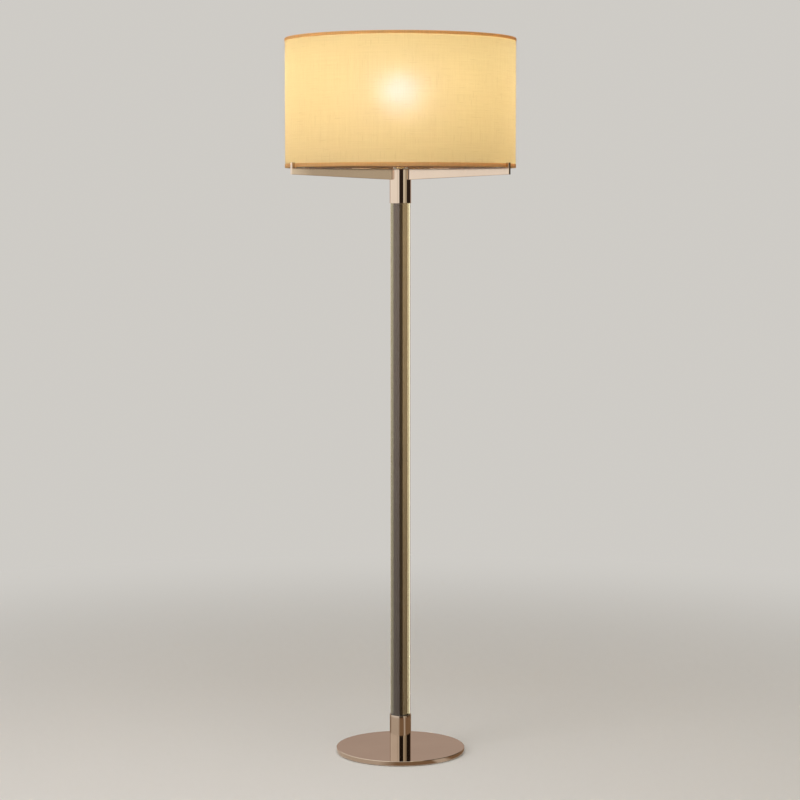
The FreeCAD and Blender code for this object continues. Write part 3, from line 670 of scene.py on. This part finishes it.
def make_reflections():
    """Light and dark panels round the lamp, for polished metal and for the glass column."""
    foot = TENT_FOOT
    plate_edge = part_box("base_plate")[1].x + GROUND_GAP
    wall = [(GROUND_RADIUS, foot), (TENT_RADIUS, foot), (TENT_RADIUS, TENT_TOP)]
    ground = [(plate_edge, foot), (GROUND_RADIUS, foot)]
    glass_wall = [(plate_edge, foot), (TENT_RADIUS, foot), (TENT_RADIUS, TENT_TOP)]
    white = tone(1.16, 1.12, 1.06)
    dark = tone(0.03, 0.02, 0.015)
    stripe = tone(1.05, 0.98, 0.80)
    amber = tone(0.60, 0.54, 0.42)
    seam = tone(0.84, 0.78, 0.70)
    behind = tone(0.62, 0.485, 0.405)
    tent("metal_tent", wall, [
        (-180.0, behind, 1.0),
        (-140.0, behind, 1.0),
        (-130.0, white, 1.0),
        (-37.0, white, 1.0),
        (-32.0, seam, 1.0),
        (-27.0, white, 1.0),
        (-18.0, white, 1.0),
        (-8.0, dark, 1.0),
        (29.0, dark, 1.0),
        (33.0, stripe, 1.0),
        (41.0, stripe, 1.0),
        (45.0, amber, 1.0),
        (66.0, amber, 1.0),
        (72.0, dark, 1.0),
        (130.0, dark, 1.0),
        (142.0, behind, 1.0),
        (180.0, behind, 1.0),
    ], METAL_FOOT_SHINE, True)
    pale_ground = tone(0.80, 0.69, 0.58)
    brown_ground = tone(0.34, 0.215, 0.125)
    tent("metal_ground", ground, [
        (-180.0, brown_ground, 1.0),
        (-130.0, brown_ground, 1.0),
        (-110.0, pale_ground, 1.0),
        (-22.0, pale_ground, 1.0),
        (-4.0, brown_ground, 1.0),
        (33.0, brown_ground, 1.0),
        (38.0, pale_ground, 1.0),
        (48.0, pale_ground, 1.0),
        (56.0, brown_ground, 1.0),
        (180.0, brown_ground, 1.0),
    ], METAL_FOOT_SHINE, True)
    edge = tone(0.30, 0.25, 0.13)
    dim = tone(0.34, 0.29, 0.28)
    line = tone(0.16, 0.13, 0.09)
    golden = tone(0.72, 0.59, 0.36)
    copper = tone(0.62, 0.42, 0.20)
    bright = tone(1.20, 1.08, 0.70)
    tent("glass_tent", glass_wall, [
        (-180.0, edge, 1.0),
        (-126.0, edge, 1.0),
        (-118.0, dim, 1.0),
        (-20.0, dim, 1.0),
        (-8.0, line, 1.0),
        (27.0, line, 1.0),
        (37.0, golden, 1.0),
        (108.0, golden, 1.0),
        (118.0, copper, 1.0),
        (126.0, copper, 1.0),
        (134.0, edge, 1.0),
        (180.0, edge, 1.0),
    ], GLASS_FOOT_SHINE, False)
    line_foot = foot + LINE_LIFT
    line_radius = TENT_RADIUS - LINE_INSET
    glass_line = [(plate_edge, line_foot), (line_radius, line_foot), (line_radius, TENT_TOP)]
    tent("glass_line", glass_line, [
        (-180.0, bright, 0.0),
        (135.0, bright, 0.0),
        (139.0, bright, 1.0),
        (164.0, bright, 1.0),
        (169.0, bright, 0.0),
        (180.0, bright, 0.0),
    ], LINE_FOOT_SHINE, False, (135.0, 169.0))


def make_camera():
    data = bpy.data.cameras.new("camera")
    data.sensor_width = SENSOR_MM
    data.lens = FOCAL_PX / FRAME_PX * SENSOR_MM
    data.shift_y = SHIFT_Y
    data.clip_end = 100.0
    camera = bpy.data.objects.new("camera", data)
    camera.location = EYE
    camera.rotation_euler = (math.pi / 2 - PITCH_DOWN, 0.0, 0.0)
    bpy.context.scene.collection.objects.link(camera)
    bpy.context.scene.camera = camera


# ---- the whole scene ----------------------------------------------------------------------

WALL_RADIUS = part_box("shade_fabric")[1].x
BULB_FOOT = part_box("bulb_globe")[0].z
BULB_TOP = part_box("bulb_globe")[1].z
RING_OF = {"bottom_trim": "bottom_ring", "top_trim": "top_ring"}
RING_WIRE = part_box("bottom_ring")[1].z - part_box("bottom_ring")[0].z

finishes = make_finishes()
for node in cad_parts.values():
    for held in node.material_slots:
        held.material = finishes[held.material.name.split(".")[0]]

# painted shade: the hems' inner legs are coloured near-black to stand in for the shadow under the
# shade's rim
painted_shade_inner_tape = painted_shade_hem_inside()
cloth = make_cloth()
bottom_hem = make_hem("bottom_hem", "bottom_trim", True)
top_hem = make_hem("top_hem", "top_trim", False)

make_world()
make_floor()
make_reflections()
soft_light("left_panel", (-2.9, -2.2, 1.9), (1.8, 2.4), 50.0, (1.0, 0.97, 0.965))
soft_light("right_panel", (2.8, -2.2, 2.4), (1.4, 1.8), 6.0, (1.0, 0.88, 0.70))
soft_light("top_panel", (0.0, -0.6, 3.6), (2.4, 2.4), 62.0, (1.0, 0.98, 0.95))
make_camera()

scene = bpy.context.scene
scene.view_settings.view_transform = "Standard"
scene.cycles.transparent_max_bounces = 24
scene.cycles.glossy_bounces = 8
